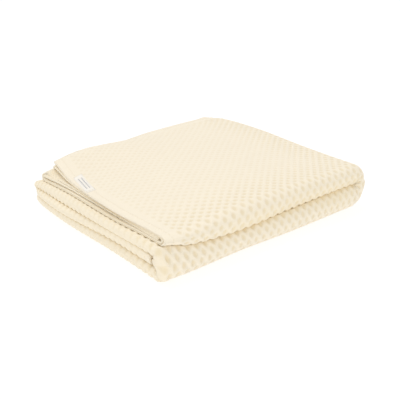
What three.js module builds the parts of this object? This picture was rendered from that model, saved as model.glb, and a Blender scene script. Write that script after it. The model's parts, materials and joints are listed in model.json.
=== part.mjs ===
// A knitted crib blanket, folded in half, in thirds and in half again, with a sewn-on label.
// Millimetres, +Z up. The origin is the middle of the footprint, on the surface the blanket rests on.
// X runs from the open left end to the closed right end, Y from the front fold to the back.
// A point of the flat cloth is (along, across, depth): along its length from the upper hem, across its
// width from the edge that ends up at the back, and depth through its thickness from the outer face.

import * as THREE from 'three';

// The cloth, laid flat
const CLOTH_LENGTH = 1000;
const CLOTH_WIDTH = 700;
const PLY = 3.0; // lofty honeycomb knit
const PLY_GAP = 0.8; // air between two plies that lie on each other
const HEM_PLY = 1.8; // the hem is flat and firm
const HEM_BAND = 14; // the knit thins to its hem over this width

// The three folds
const HEM_INSET = 14; // the hems stop this far short of the first fold, before they settle
const TONGUE_CLEARANCE = 13; // the third that is tucked in stops this far short of the front fold
const TONGUE_STRETCH = 0.04; // share by which it is pulled longer where it lies in the upper bundle
const BUNCHING = 12.3; // the inner ply of the front fold bunches up this far at the left end
const BUNCHING_POINT = 1.5; // 1 makes the bunch full, more makes it pointed
const BUNCHING_REACH = 70;
const BIGHT_PRESSING = 0.75; // the bights at the left end are pressed to this share of their depth
const BIGHT_SQUARENESS = 0.75; // 1 leaves them round, less makes them squarer

// The label, sewn on beside the hem of the top ply
const LABEL_LENGTH = 45;
const LABEL_WIDTH = 9.5;
const LABEL_THICKNESS = 0.6;
const LABEL_CLEARANCE = 0.55;
const LABEL_FROM_BACK = 78; // middle of the label, along the hem from the back corner
const LABEL_FROM_HEM = 7.2; // middle of the label, in from the hem
const LABEL_TILT = 0.09; // how far its back end turns in from the hem, per millimetre

// How the stack settled. Each row is a section across the blanket at x. Its heights are those of the
// lower and upper bundle of six plies, at the five distances from front to back in HEIGHT_STATIONS.
// frontLower and frontUpper say how far the front folds lie from a straight line there.
const HEIGHT_STATIONS = [-5, 60, 140, 200, 228];
const SECTIONS = [
  {
    x: 0,
    lower: [33.5, 31.5, 29.5, 24.5, 18.5],
    upper: [6.5, 9, 11.5, 23.5, 27],
    frontLower: -5,
    frontUpper: -1,
  },
  {
    x: 30,
    lower: [26.5, 27.5, 27, 25.5, 22],
    upper: [12.5, 15, 15, 25, 25],
    frontLower: -5,
    frontUpper: -3,
  },
  {
    x: 85,
    lower: [22, 23, 23.5, 24.5, 20],
    upper: [21.5, 22, 22.5, 24, 18.5],
    frontLower: -3,
    frontUpper: -2.5,
  },
  {
    x: 150,
    lower: [24, 23, 23, 22.5, 22.5],
    upper: [21, 23, 23.5, 23, 23],
    frontLower: -5,
    frontUpper: -1.5,
  },
  {
    x: 235,
    lower: [27, 24.5, 24.5, 24, 24.5],
    upper: [18.5, 21.5, 23.5, 24, 23.5],
    frontLower: -4.5,
    frontUpper: -3.5,
  },
];

// How far the two ends lie from a straight line, front to back. The bights and the hems at the left have
// three values each, for the lowest, middle and highest pair of plies in their bundle.
const ENDS = [
  { y: -5, bights: [1.5, 1.5, -1], hems: [-12.5, -11, -10], right: -1 },
  { y: 60, bights: [0.5, 1, -3], hems: [-15, -10.5, -14], right: 1.5 },
  { y: 140, bights: [-4, -7, -2.5], hems: [-14.5, -11.5, -10], right: 6 },
  { y: 200, bights: [-3, -3.5, -1], hems: [-13, -12, 0], right: 3.5 },
  { y: 228, bights: [1.5, 4.5, 1], hems: [-8.5, -8, 2], right: -9 },
];
const PAIR_LEVELS = [1 / 6, 1 / 2, 5 / 6]; // middles of the three pairs, as a share of their bundle
const LEFT_REACH = 150; // the left end's unevenness fades out over this length
const RIGHT_REACH = 110;
const BEND_FLATTENING = 0.8; // the right bend is pressed to this share of its depth
const FRONT_REACH = 60; // the front folds' unevenness fades out over this width
const SLACK = 0.012; // the plies lie this share slack from front to back
const UPPER_TAPER = 0.105; // share by which the upper bundle narrows at its hems
const LOWER_TAPER = 0.035;
const TAPER_REACH = 110;
const HEM_PAIRS = 3;
const HEM_PAIRING = 0.55; // how far the hems close up in pairs, from 0 to 1
const PAIRING_REACH = 80;
const CORNER_LIFT = 0.65; // how far the upper hems stand clear of the lower ones at the back, from 0 to 1
const CORNER_START = 120;
const CORNER_REACH = 80;

// Facets
const BEND_STEPS = { half: 6, front: 8, back: 6, over: 8 };
const RUN_X = [0, 8, 18, 30, 55, 85, 115, 150, 190];
const RUN_Y = [0, 30, 62, 95, 128, 148, 168, 195];
const HEM_STEPS = [0, 5, HEM_BAND];
const LABEL_STEPS = { along: 3, across: 4 };

const KNIT = { color: 0xf2e6cb, roughness: 0.95, metalness: 0 };
const RIBBON = { color: 0xf5f4ef, roughness: 0.7, metalness: 0 };

// Sizes that follow from the driving ones
const DOUBLE = 2 * PLY + PLY_GAP;
const BUNDLE = 3 * DOUBLE + 2 * PLY_GAP;
const MID_LEVEL = BUNDLE + PLY_GAP / 2;
const HALF_RADIUS = (PLY + PLY_GAP) / 2;
const HALF_BEND = Math.PI * HALF_RADIUS;
const TUCK = DOUBLE + 2 * PLY_GAP;
const FRONT_RADIUS = (DOUBLE + TUCK) / 2;
const FRONT_BEND = Math.PI * FRONT_RADIUS;
const BACK_RADIUS = (DOUBLE + PLY_GAP) / 2;
const BACK_BEND = Math.PI * BACK_RADIUS;
const PANEL = (CLOTH_WIDTH - FRONT_BEND - BACK_BEND - TUCK / 2 + TONGUE_CLEARANCE) / 3;
const OVER_RADIUS = (BUNDLE + PLY_GAP) / 2;
const OVER_BEND = Math.PI * OVER_RADIUS;
const STRIP = (CLOTH_LENGTH - HALF_BEND) / 2;
const OVER_START = (STRIP - OVER_BEND + HEM_INSET) / 2;
const FRONT_EDGE = -(DOUBLE + TUCK / 2);

const FRONT_START = PANEL;
const FRONT_END = FRONT_START + FRONT_BEND;
const BACK_START = FRONT_END + PANEL;
const BACK_END = BACK_START + BACK_BEND;

// Eases from 0 to 1 as share goes from 0 to 1.
function ease(share) {
  return THREE.MathUtils.smoothstep(share, 0, 1);
}

// Smooth curve through values at stations, level beyond its ends.
function through(stations, values, at) {
  const last = stations.length - 1;
  if (at <= stations[0]) return values[0];
  if (at >= stations[last]) return values[last];
  const i = stations.findIndex((station) => station > at) - 1;
  const span = stations[i + 1] - stations[i];
  const slope = (k) => {
    const before = Math.max(k - 1, 0);
    const after = Math.min(k + 1, last);
    const inside = k > 0 && k < last;
    return inside ? (values[after] - values[before]) / (stations[after] - stations[before]) : 0;
  };
  const p = (at - stations[i]) / span;
  const q = 1 - p;
  const hold = q * q * (1 + 2 * p) * values[i] + p * p * (1 + 2 * q) * values[i + 1];
  return hold + span * p * q * (q * slope(i) - p * slope(i + 1));
}

// First fold: the cloth in half across its length, its bend at x = 0 and both hems to the right.
function foldInHalf(along, depth) {
  const past = along - CLOTH_LENGTH / 2;
  const radius = PLY + PLY_GAP / 2 - depth;
  const turn = THREE.MathUtils.clamp(past / HALF_RADIUS + Math.PI / 2, 0, Math.PI);
  const run = Math.max(Math.abs(past) - HALF_BEND / 2, 0);
  const reach = BIGHT_PRESSING * radius * Math.sin(turn) ** BIGHT_SQUARENESS;
  return { x: run - reach, z: PLY + PLY_GAP / 2 - radius * Math.cos(turn) };
}

// Second fold: the double strip in thirds. The bottom third turns up at the front and becomes the top
// third, which turns down at the back and is tucked in between the other two.
function foldInThirds(across, x, z) {
  const level = DOUBLE + TUCK / 2;
  if (across < BACK_START) {
    const radius = level - z;
    const turn = THREE.MathUtils.clamp((across - FRONT_START) / FRONT_RADIUS, 0, Math.PI);
    const run = Math.max(FRONT_START - across, across - FRONT_END, 0);
    const bunch = BUNCHING * ease(1 - x / BUNCHING_REACH) * Math.sin(turn) ** BUNCHING_POINT;
    return {
      y: run - radius * Math.sin(turn) + bunch * (z / DOUBLE),
      z: level - radius * Math.cos(turn),
    };
  }
  const radius = DOUBLE + PLY_GAP / 2 - z;
  const turn = Math.min((across - BACK_START) / BACK_RADIUS, Math.PI);
  const run = Math.max(across - BACK_END, 0) * (1 + TONGUE_STRETCH * ease((x - OVER_START) / OVER_BEND));
  return {
    y: PANEL - run + radius * Math.sin(turn),
    z: DOUBLE + TUCK - PLY_GAP / 2 + radius * Math.cos(turn),
  };
}

// Third fold: the hem end is laid over the rest, with the bend at the right.
function foldOver(x, z) {
  const radius = MID_LEVEL - z;
  const turn = THREE.MathUtils.clamp((x - OVER_START) / OVER_RADIUS, 0, Math.PI);
  const before = Math.min(x, OVER_START);
  const run = Math.max(x - OVER_START - OVER_BEND, 0);
  return { x: before - run + radius * Math.sin(turn), z: MID_LEVEL - radius * Math.cos(turn) };
}

// Height of the lower or upper bundle at a place.
function bundleHeight(bundle, x, y) {
  const heights = SECTIONS.map((section) => through(HEIGHT_STATIONS, section[bundle], y));
  return through(SECTIONS.map((section) => section.x), heights, x);
}

// One column of the sections, at x.
function frontLine(column, x) {
  return through(SECTIONS.map((section) => section.x), SECTIONS.map((section) => section[column]), x);
}

// One column of the ends, at y.
function endLine(column, y) {
  return through(ENDS.map((row) => row.y), ENDS.map((row) => row[column]), y);
}

// The bights or the hems at the left end, at y and at a level from 0 to 1 in their bundle.
function leftLine(column, y, level) {
  const pairs = PAIR_LEVELS.map((_, k) => through(
    ENDS.map((row) => row.y),
    ENDS.map((row) => row[column][k]),
    y,
  ));
  return through(PAIR_LEVELS, pairs, level);
}

// The even stack sags, spreads and shifts as cloth does. The underside stays flat on the surface.
function settle(x, y, z) {
  const upper = z > MID_LEVEL;
  const level = upper ? z / MID_LEVEL - 1 : z / MID_LEVEL;
  const pressedX = Math.min(x, OVER_START) + BEND_FLATTENING * Math.max(x - OVER_START, 0);
  const fromRight = OVER_START + BEND_FLATTENING * MID_LEVEL - pressedX;
  const taper = ease(1 - x / TAPER_REACH) * (upper ? UPPER_TAPER : LOWER_TAPER);
  const front = frontLine(upper ? 'frontUpper' : 'frontLower', x);
  let settledY = FRONT_EDGE + (y - FRONT_EDGE) * (1 - SLACK - taper);
  settledY += front * ease(1 - (settledY - FRONT_EDGE) / FRONT_REACH);
  const left = leftLine(upper ? 'hems' : 'bights', settledY, level);
  const right = endLine('right', settledY);
  const settledX = pressedX + left * ease(1 - x / LEFT_REACH) + right * ease(1 - fromRight / RIGHT_REACH);
  const lower = bundleHeight('lower', settledX, settledY);
  if (!upper) return new THREE.Vector3(settledX, settledY, lower * level);
  const pairing = HEM_PAIRING * ease(1 - settledX / PAIRING_REACH);
  const pairs = HEM_PAIRS * level;
  const round = 2 * Math.PI;
  const paired = (pairs + pairing * Math.sin(round * pairs) / round) / HEM_PAIRS;
  const corner = ease(1 - settledX / PAIRING_REACH) * ease((settledY - CORNER_START) / CORNER_REACH);
  const lifted = paired * (1 - CORNER_LIFT * corner * (1 - paired));
  const above = bundleHeight('upper', settledX, settledY) * lifted;
  return new THREE.Vector3(settledX, settledY, lower + above);
}

// Where a point of the flat cloth ends up, before its hem is pressed thin.
function foldedPoint(along, across, depth) {
  const half = foldInHalf(along, depth);
  const thirds = foldInThirds(across, half.x, half.z);
  const over = foldOver(half.x, thirds.z);
  return settle(over.x, thirds.y, over.z);
}

// Where a point of the flat cloth ends up.
function clothPoint(along, across, depth) {
  const middle = foldedPoint(along, across, PLY / 2);
  const offset = foldedPoint(along, across, depth).sub(middle);
  const edge = Math.min(along, CLOTH_LENGTH - along, across, CLOTH_WIDTH - across);
  const pressed = Math.min(1, HEM_PLY / 2 / offset.length());
  const keep = THREE.MathUtils.lerp(1, pressed, ease(1 - edge / HEM_BAND));
  return middle.addScaledVector(offset, keep);
}

// Closed sheet between two faces of rows by columns points; the second face is on the side where rows,
// columns and the way from the first face to the second make a right-handed set. Every quad is split
// along the diagonal that leans the same way in plan, so that plies that lie on each other stay apart.
function closedSheet(rows, columns, firstFace, secondFace) {
  const points = [];
  const indices = [];
  for (const face of [firstFace, secondFace]) {
    for (const row of rows) {
      for (const column of columns) points.push(face(row, column));
    }
  }
  const first = (i, j) => i * columns.length + j;
  const second = (i, j) => rows.length * columns.length + first(i, j);
  const lean = (a, b) => (points[b].x - points[a].x) * (points[b].y - points[a].y);
  const quad = (a, b, c, d) => {
    if (lean(a, c) > lean(b, d)) indices.push(a, b, c, a, c, d);
    else indices.push(b, c, d, b, d, a);
  };
  const lastRow = rows.length - 1;
  const lastColumn = columns.length - 1;
  for (let i = 0; i < lastRow; i += 1) {
    for (let j = 0; j < lastColumn; j += 1) {
      quad(second(i, j), second(i + 1, j), second(i + 1, j + 1), second(i, j + 1));
      quad(first(i, j), first(i, j + 1), first(i + 1, j + 1), first(i + 1, j));
    }
    quad(first(i, 0), first(i + 1, 0), second(i + 1, 0), second(i, 0));
    quad(first(i + 1, lastColumn), first(i, lastColumn), second(i, lastColumn), second(i + 1, lastColumn));
  }
  for (let j = 0; j < lastColumn; j += 1) {
    quad(first(0, j + 1), first(0, j), second(0, j), second(0, j + 1));
    quad(first(lastRow, j), first(lastRow, j + 1), second(lastRow, j + 1), second(lastRow, j));
  }
  const geometry = new THREE.BufferGeometry();
  geometry.setFromPoints(points);
  geometry.setIndex(indices);
  geometry.computeVertexNormals();
  return geometry;
}

// Evenly spaced values from start to end, both included.
function spaced(start, end, steps) {
  return Array.from({ length: steps + 1 }, (_, k) => THREE.MathUtils.lerp(start, end, k / steps));
}

// Values in rising order, with near repeats dropped.
function ordered(values) {
  const closest = 0.01;
  const sorted = [...values].sort((a, b) => a - b);
  return sorted.filter((value, k) => k === 0 || value - sorted[k - 1] > closest);
}

// Lines along the cloth: the same places in every ply, closer together at the bends and hems.
function alongLines() {
  const overEnd = OVER_START + OVER_BEND;
  const lower = RUN_X.filter((x) => x < OVER_START);
  const upper = RUN_X.filter((x) => x > HEM_INSET + HEM_BAND && x < OVER_START);
  const strip = [
    ...lower,
    ...spaced(OVER_START, overEnd, BEND_STEPS.over),
    ...upper.map((x) => overEnd + OVER_START - x),
    ...HEM_STEPS.map((step) => STRIP - step),
  ];
  const middle = CLOTH_LENGTH / 2;
  const bend = spaced(-HALF_BEND / 2, HALF_BEND / 2, BEND_STEPS.half);
  return ordered([
    ...strip.map((x) => middle - HALF_BEND / 2 - x),
    ...bend.map((x) => middle + x),
    ...strip.map((x) => middle + HALF_BEND / 2 + x),
  ]);
}

// Lines across the cloth, the same places in every third.
function acrossLines() {
  const runs = RUN_Y.filter((y) => y < PANEL - HEM_BAND);
  const tongueEnd = BACK_END + PANEL - CLOTH_WIDTH;
  const tongue = runs.filter((y) => y > tongueEnd + HEM_BAND);
  return ordered([
    ...HEM_STEPS,
    ...runs.map((y) => FRONT_START - y),
    ...spaced(FRONT_START, FRONT_END, BEND_STEPS.front),
    ...runs.map((y) => FRONT_END + y),
    FRONT_END + PANEL - HEM_BAND,
    ...spaced(BACK_START, BACK_END, BEND_STEPS.back),
    BACK_END + HEM_BAND,
    ...tongue.map((y) => BACK_END + PANEL - y),
    ...HEM_STEPS.map((step) => CLOTH_WIDTH - step),
  ]);
}

// The blanket: one sheet, folded.
function blanket() {
  const outer = (along, across) => clothPoint(along, across, 0);
  const inner = (along, across) => clothPoint(along, across, PLY);
  const geometry = closedSheet(alongLines(), acrossLines(), outer, inner);
  const mesh = new THREE.Mesh(geometry, new THREE.MeshStandardMaterial(KNIT));
  mesh.name = 'blanket';
  return mesh;
}

// The label lies on the outer face of the top ply.
function label() {
  const placed = (u, v, height) => {
    const across = LABEL_FROM_BACK + v;
    const along = LABEL_FROM_HEM + u - LABEL_TILT * v;
    const face = clothPoint(along, across, 0);
    const outward = face.clone().sub(clothPoint(along, across, PLY / 2)).normalize();
    return face.addScaledVector(outward, height);
  };
  const geometry = closedSheet(
    spaced(-LABEL_WIDTH / 2, LABEL_WIDTH / 2, LABEL_STEPS.along),
    spaced(-LABEL_LENGTH / 2, LABEL_LENGTH / 2, LABEL_STEPS.across),
    (u, v) => placed(u, v, LABEL_CLEARANCE + LABEL_THICKNESS),
    (u, v) => placed(u, v, LABEL_CLEARANCE),
  );
  const mesh = new THREE.Mesh(geometry, new THREE.MeshStandardMaterial(RIBBON));
  mesh.name = 'label';
  return mesh;
}

// The pieces, moved so that the middle of the footprint is the origin.
function foldedBlanket() {
  const group = new THREE.Group();
  group.add(blanket(), label());
  const box = new THREE.Box3().setFromObject(group);
  const middle = box.getCenter(new THREE.Vector3());
  group.position.set(-middle.x, -middle.y, -box.min.z);
  return group;
}

export default foldedBlanket();
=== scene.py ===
"""A knitted crib blanket, folded in half, in thirds and in half again, with a bare woven label.

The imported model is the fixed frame. The cloth is one closed sheet: its flat points carry the honeycomb
relief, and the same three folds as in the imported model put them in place. The folds are worked out in
millimetres, as (along, across, depth): along the cloth's length from the upper hem, across its width from
the edge that ends up at the back, and depth through its thickness from the outer face.
"""

import json
import logging
import math
from dataclasses import dataclass, field
from enum import Enum
from typing import Any, Optional, Sequence, Union

import bmesh
import bpy
import numpy as np
from mathutils import Euler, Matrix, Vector

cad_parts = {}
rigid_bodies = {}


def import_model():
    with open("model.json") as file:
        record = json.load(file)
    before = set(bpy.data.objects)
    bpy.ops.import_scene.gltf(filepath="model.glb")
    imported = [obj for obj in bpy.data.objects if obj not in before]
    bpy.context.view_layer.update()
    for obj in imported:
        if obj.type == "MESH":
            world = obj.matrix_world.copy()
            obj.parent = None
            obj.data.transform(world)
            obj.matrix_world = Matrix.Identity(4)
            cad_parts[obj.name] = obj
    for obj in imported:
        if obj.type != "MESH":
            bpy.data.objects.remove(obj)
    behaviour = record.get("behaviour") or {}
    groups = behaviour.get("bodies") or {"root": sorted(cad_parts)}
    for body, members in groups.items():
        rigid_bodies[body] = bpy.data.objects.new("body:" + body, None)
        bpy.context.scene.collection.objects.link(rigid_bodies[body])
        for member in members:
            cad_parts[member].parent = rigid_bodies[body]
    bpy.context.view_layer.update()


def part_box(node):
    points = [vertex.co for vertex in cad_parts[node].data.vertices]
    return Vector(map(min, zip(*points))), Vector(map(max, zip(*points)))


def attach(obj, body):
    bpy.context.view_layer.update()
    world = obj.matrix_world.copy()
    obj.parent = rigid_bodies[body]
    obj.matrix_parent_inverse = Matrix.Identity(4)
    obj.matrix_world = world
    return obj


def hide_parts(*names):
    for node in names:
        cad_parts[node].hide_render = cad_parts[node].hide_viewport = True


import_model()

Array = np.ndarray
Depth = Union[Array, float]
Colour = tuple[float, float, float, float]
Operand = Union["Number", float]

LOG = logging.getLogger("crib_blanket")
MILLIMETRE = 0.001
FLAT_LAYER = "flat"


class Slot(Enum):
    """Material slots of the record."""

    KNIT = "knit"
    RIBBON = "ribbon"


class Bundle(Enum):
    """The two halves of the stack, each of six plies."""

    LOWER = "lower"
    UPPER = "upper"


class Face(Enum):
    """The two faces of a sheet: the outer one, and the inner one that lies against another ply."""

    OUTER = "outer"
    INNER = "inner"


class Mark(Enum):
    """Values that a mesh keeps at its points for its finish."""

    OPENNESS = "openness"
    # Share of the yellow-brown painted shade where the outer face lies between plies, in the front crease
    # and on the rolls.
    TUCKED = "tucked"


def ease(share: Array) -> Array:
    """Smooth step from 0 to 1 as share goes from 0 to 1."""
    share = np.clip(share, 0.0, 1.0)
    return share * share * (3.0 - 2.0 * share)


def through(stations: Array, values: Array, at: Array) -> Array:
    """Smooth curve through values at stations, level beyond its ends.

    Args:
        stations: Rising places of the values.
        values: One value for each station, or one row of values, with a column for each place in at.
        at: Places to read the curve at.

    Returns:
        The curve at each place.
    """
    at = np.clip(at, stations[0], stations[-1])
    low = np.clip(np.searchsorted(stations, at, side="right") - 1, 0, len(stations) - 2)
    columns = np.arange(len(at))
    slopes = np.zeros_like(values)
    reach = stations[2:] - stations[:-2]
    slopes[1:-1] = (values[2:] - values[:-2]) / (reach if values.ndim == 1 else reach[:, None])

    def pick(table: Array, row: Array) -> Array:
        """Each place's own entry of a table."""
        return table[row] if table.ndim == 1 else table[row, columns]

    span = stations[low + 1] - stations[low]
    share = (at - stations[low]) / span
    rest = 1.0 - share
    start = rest * rest * (1 + 2 * share) * pick(values, low)
    end = share * share * (1 + 2 * rest) * pick(values, low + 1)
    bow = span * share * rest * (rest * pick(slopes, low) - share * pick(slopes, low + 1))
    return start + end + bow


def unit(vectors: Array) -> Array:
    """Vectors scaled to length one."""
    return vectors / np.linalg.norm(vectors, axis=-1, keepdims=True)


def gather(rows: Sequence[Any], name: str) -> Array:
    """One field of each row, as an array of numbers."""
    return np.array([getattr(row, name) for row in rows], float)


def side_by_side(*values: Array) -> Array:
    """Arrays as the columns of one."""
    return np.stack(values, axis=-1)


@dataclass(frozen=True)
class Flat:
    """Points of the flat cloth, by their distances along and across it."""

    along: Array
    across: Array


@dataclass(frozen=True)
class Section:
    """A section across the settled stack.

    The heights are those of the two bundles at Settling.stations, and the fronts say how far the front
    folds lie from a straight line.
    """

    x: float
    lower: tuple[float, ...]
    upper: tuple[float, ...]
    front_lower: float
    front_upper: float


@dataclass(frozen=True)
class Ends:
    """How far the two ends lie from a straight line, at a distance from the front.

    The bights and the hems at the left have a value for the lowest, middle and highest pair of plies.
    """

    y: float
    bights: tuple[float, ...]
    hems: tuple[float, ...]
    right: float


@dataclass(frozen=True)
class Settling:
    """How the even stack sags, spreads and shifts as cloth does."""

    stations: tuple[float, ...] = (-5, 60, 140, 200, 228)
    sections: tuple[Section, ...] = (
        Section(0, (33.5, 31.5, 29.5, 24.5, 18.5), (6.5, 9, 11.5, 23.5, 27), -5, -1),
        Section(30, (26.5, 27.5, 27, 25.5, 22), (12.5, 15, 15, 25, 25), -5, -3),
        Section(85, (22, 23, 23.5, 24.5, 20), (21.5, 22, 22.5, 24, 18.5), -3, -2.5),
        Section(150, (24, 23, 23, 22.5, 22.5), (21, 23, 23.5, 23, 23), -5, -1.5),
        Section(235, (27, 24.5, 24.5, 24, 24.5), (18.5, 21.5, 23.5, 24, 23.5), -4.5, -3.5),
    )
    ends: tuple[Ends, ...] = (
        Ends(-5, (1.5, 1.5, -1), (-12.5, -11, -10), -1),
        Ends(60, (0.5, 1, -3), (-15, -10.5, -14), 1.5),
        Ends(140, (-4, -7, -2.5), (-14.5, -11.5, -10), 6),
        Ends(200, (-3, -3.5, -1), (-13, -12, 0), 3.5),
        Ends(228, (1.5, 4.5, 1), (-8.5, -8, 2), -9),
    )
    pair_levels: tuple[float, ...] = (1 / 6, 1 / 2, 5 / 6)
    left_reach: float = 150
    right_reach: float = 110
    bend_flattening: float = 0.8
    front_reach: float = 60
    slack: float = 0.012
    upper_taper: float = 0.105
    lower_taper: float = 0.035
    taper_reach: float = 110
    hem_pairs: int = 3
    hem_pairing: float = 0.55
    pairing_reach: float = 80
    corner_lift: float = 0.65
    corner_start: float = 120
    corner_reach: float = 80

    def height(self, bundle: Bundle, x: Array, y: Array) -> Array:
        """Height of a bundle by itself at places of the footprint."""
        stations = np.array(self.stations, float)
        heights = [through(stations, row, y) for row in gather(self.sections, bundle.value)]
        return through(gather(self.sections, "x"), np.array(heights), x)

    def front(self, bundle: Bundle, x: Array) -> Array:
        """How far a bundle's front fold lies from a straight line."""
        return through(gather(self.sections, "x"), gather(self.sections, f"front_{bundle.value}"), x)

    def left(self, bundle: Bundle, y: Array, level: Array) -> Array:
        """How far a bundle's left end lies from a straight line.

        Args:
            bundle: The bundle.
            y: Distances from the front.
            level: Heights in the bundle, from 0 to 1.

        Returns:
            Distances to the right of the line.
        """
        values = gather(self.ends, "bights" if bundle is Bundle.LOWER else "hems")
        pairs = np.array([through(gather(self.ends, "y"), column, y) for column in values.T])
        return through(np.array(self.pair_levels), pairs, level)

    def right(self, y: Array) -> Array:
        """How far the right end lies from a straight line."""
        return through(gather(self.ends, "y"), gather(self.ends, "right"), y)


@dataclass
class FoldedCloth:
    """The flat cloth and its three folds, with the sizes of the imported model."""

    length: float = 1000
    width: float = 700
    ply: float = 3.0
    gap: float = 0.8
    hem_ply: float = 1.8
    hem_band: float = 14
    hem_inset: float = 14
    hem_softness: float = 0.75
    tongue_clearance: float = 13
    tongue_stretch: float = 0.04
    bunching: float = 12.3
    bunching_point: float = 1.5
    bunching_reach: float = 70
    bight_pressing: float = 0.75
    bight_squareness: float = 0.75
    lower_crease: float = 0.6
    upper_crease: float = 0.28
    crease_angle: float = math.radians(60)
    profile_steps: int = 24
    # From here to the bight reach: where the yellow-brown painted shade goes, between the plies, in the
    # front crease and on the rolls, with less of it at the edges.
    shelf: float = 5
    lower_reach: float = 14
    upper_reach: float = 24
    pocket_reach: float = 8
    pocket_place: float = 32
    pocket_length: float = 40
    faint_share: float = 0.3
    faint_reach: float = 90
    rim_share: float = 0.4
    bight_shade: float = 0.5
    bight_reach: float = 25
    least_offset: float = 1e-9
    settling: Settling = field(default_factory=Settling)

    def __post_init__(self) -> None:
        """Work out the sizes that follow from the driving ones."""
        self.middle = self.length / 2
        self.double = 2 * self.ply + self.gap
        self.bundle = 3 * self.double + 2 * self.gap
        self.mid_level = self.bundle + self.gap / 2
        self.half_radius = (self.ply + self.gap) / 2
        self.half_bend = math.pi * self.half_radius
        self.tuck = self.double + 2 * self.gap
        self.front_radius = (self.double + self.tuck) / 2
        self.front_bend = math.pi * self.front_radius
        self.back_radius = (self.double + self.gap) / 2
        self.back_bend = math.pi * self.back_radius
        bends = self.front_bend + self.back_bend + self.tuck / 2
        self.panel = (self.width - bends + self.tongue_clearance) / 3
        self.over_radius = (self.bundle + self.gap) / 2
        self.over_bend = math.pi * self.over_radius
        self.strip = (self.length - self.half_bend) / 2
        self.over_start = (self.strip - self.over_bend + self.hem_inset) / 2
        self.over_middle = self.half_bend / 2 + self.over_start + self.over_bend / 2
        self.front_edge = -(self.double + self.tuck / 2)
        self.front_end = self.panel + self.front_bend
        self.front_middle = (self.panel + self.front_end) / 2
        self.back_start = self.front_end + self.panel
        self.back_end = self.back_start + self.back_bend
        self.back_middle = (self.back_start + self.back_end) / 2

    def fold_in_half(self, along: Array, depth: Depth) -> tuple[Array, Array]:
        """First fold: in half across the length, with the bend at x = 0 and both hems to the right.

        Args:
            along: Distances along the cloth.
            depth: Depths below the outer face.

        Returns:
            Distances to the right of the bend, and heights.
        """
        past = along - self.middle
        radius = self.ply + self.gap / 2 - depth
        turn = np.clip(past / self.half_radius + math.pi / 2, 0, math.pi)
        run = np.maximum(np.abs(past) - self.half_bend / 2, 0)
        reach = self.bight_pressing * radius * np.sin(turn) ** self.bight_squareness
        return run - reach, self.ply + self.gap / 2 - radius * np.cos(turn)

    def front_profile(self, share: Array, crease: float) -> tuple[Array, Array]:
        """Section of the front bend, of radius one: round below and pressed flat above.

        Args:
            share: Share of the way round the bend.
            crease: How far in from the outermost place it is no longer pressed flat.

        Returns:
            How far out and how far up from the bend's middle.
        """
        steps = np.linspace(0, 1, self.profile_steps)
        low = steps * math.pi / 2
        climb = math.acos(1 - crease)
        rise = np.sin(steps * self.crease_angle) / math.sin(self.crease_angle)
        out = np.concatenate([np.sin(low), np.cos(steps * climb), (1 - crease) * (1 - steps)])
        up = np.concatenate([-np.cos(low), rise, np.ones_like(steps)])
        lengths = np.concatenate([[0.0], np.cumsum(np.hypot(np.diff(out), np.diff(up)))])
        way = lengths / lengths[-1]
        return np.interp(share, way, out), np.interp(share, way, up)

    def fold_in_thirds(self, across: Array, x: Array, z: Array) -> tuple[Array, Array]:
        """Second fold: up at the front, then down at the back and tucked in between.

        Args:
            across: Distances across the cloth.
            x: Distances to the right of the first fold's bend.
            z: Heights after the first fold.

        Returns:
            Distances behind the start of the front bend, and heights.
        """
        level = self.double + self.tuck / 2
        turn = np.clip((across - self.panel) / self.front_radius, 0, math.pi)
        run = np.maximum(np.maximum(self.panel - across, across - self.front_end), 0)
        bunch = self.bunching * ease(1 - x / self.bunching_reach) * np.sin(turn) ** self.bunching_point
        upper = ease((x - self.over_start) / self.over_bend)
        lower_out, lower_up = self.front_profile(turn / math.pi, self.lower_crease)
        upper_out, upper_up = self.front_profile(turn / math.pi, self.upper_crease)
        out = lower_out + (upper_out - lower_out) * upper
        up = lower_up + (upper_up - lower_up) * upper
        front_y = run - (level - z) * out + bunch * (z / self.double)
        front_z = level + (level - z) * up
        radius = self.double + self.gap / 2 - z
        turn = np.clip((across - self.back_start) / self.back_radius, 0, math.pi)
        run = np.maximum(across - self.back_end, 0)
        back_y = self.panel - run * (1 + self.tongue_stretch * upper) + radius * np.sin(turn)
        back_z = self.double + self.tuck - self.gap / 2 + radius * np.cos(turn)
        before = across < self.back_start
        return np.where(before, front_y, back_y), np.where(before, front_z, back_z)

    def fold_over(self, x: Array, z: Array) -> tuple[Array, Array]:
        """Third fold: the hem end is laid over the rest, with the bend at the right.

        Args:
            x: Distances to the right of the first fold's bend.
            z: Heights after the second fold.

        Returns:
            The same after the third fold.
        """
        radius = self.mid_level - z
        turn = np.clip((x - self.over_start) / self.over_radius, 0, math.pi)
        run = np.maximum(x - self.over_start - self.over_bend, 0)
        placed = np.minimum(x, self.over_start) - run + radius * np.sin(turn)
        return placed, self.mid_level - radius * np.cos(turn)

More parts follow.
